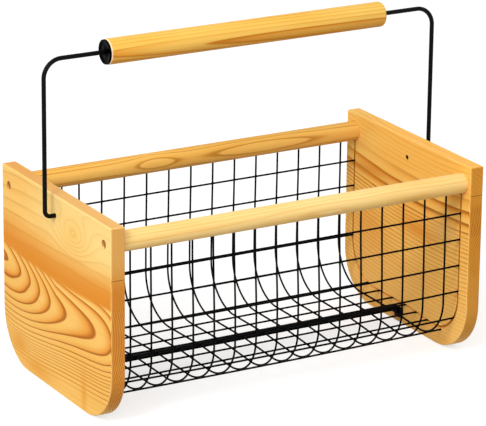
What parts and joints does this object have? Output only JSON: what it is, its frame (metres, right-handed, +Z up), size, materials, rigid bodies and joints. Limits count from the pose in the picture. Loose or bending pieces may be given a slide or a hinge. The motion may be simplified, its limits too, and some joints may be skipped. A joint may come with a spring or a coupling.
{
  "type": "wire mesh harvest basket",
  "caption": "Open garden basket: wooden end boards and round rails carry a black welded wire trough, under a swinging wire bail with a wooden grip.",
  "frame": {"origin": "on the ground, under the middle of the basket", "axes": "+X along the basket to its right end board, -Y is the front, +Z up"},
  "size_m": [0.4766, 0.252, 0.3774],
  "materials": {
    "end_board_pine": "honey lacquered pine, satin",
    "rail_pine": "pale lacquered pine, satin",
    "grip_wood": "lacquered turned wood, satin",
    "plug_wood": "plain wood",
    "coated_wire": "black coated welded wire",
    "black_bar": "black painted steel, satin",
    "bail_black": "black coated steel wire, satin",
    "cap_plastic": "black moulded plastic",
    "screw_steel": "plated steel"
  },
  "bodies": {
    "basket": {"left_end_board": "end_board_pine", "right_end_board": "end_board_pine", "front_top_rail": "rail_pine", "back_top_rail": "rail_pine", "wire_mesh_trough": "coated_wire", "bottom_support_bar": "black_bar", "left_front_rail_screw": "screw_steel", "left_back_rail_screw": "screw_steel", "right_front_rail_screw": "screw_steel", "right_back_rail_screw": "screw_steel", "left_front_screw_plug": "plug_wood", "left_back_screw_plug": "plug_wood", "right_front_screw_plug": "plug_wood", "right_back_screw_plug": "plug_wood", "left_bar_screw": "black_bar", "right_bar_screw": "black_bar"},
    "bail": {"bail_wire": "bail_black"},
    "grip": {"grip_handle": "grip_wood", "left_grip_cap": "cap_plastic"}
  },
  "joints": [
    {"name": "bail_swing", "type": "hinge", "parent": "basket", "child": "bail", "pos_m": [0, 0, 0.1958], "axis": [1, 0, 0], "range_deg": [-129, 129]},
    {"name": "grip_spin", "type": "hinge", "parent": "bail", "child": "grip", "pos_m": [0.0027, 0, 0.3638], "axis": [1, 0, 0], "continuous": true}
  ]
}
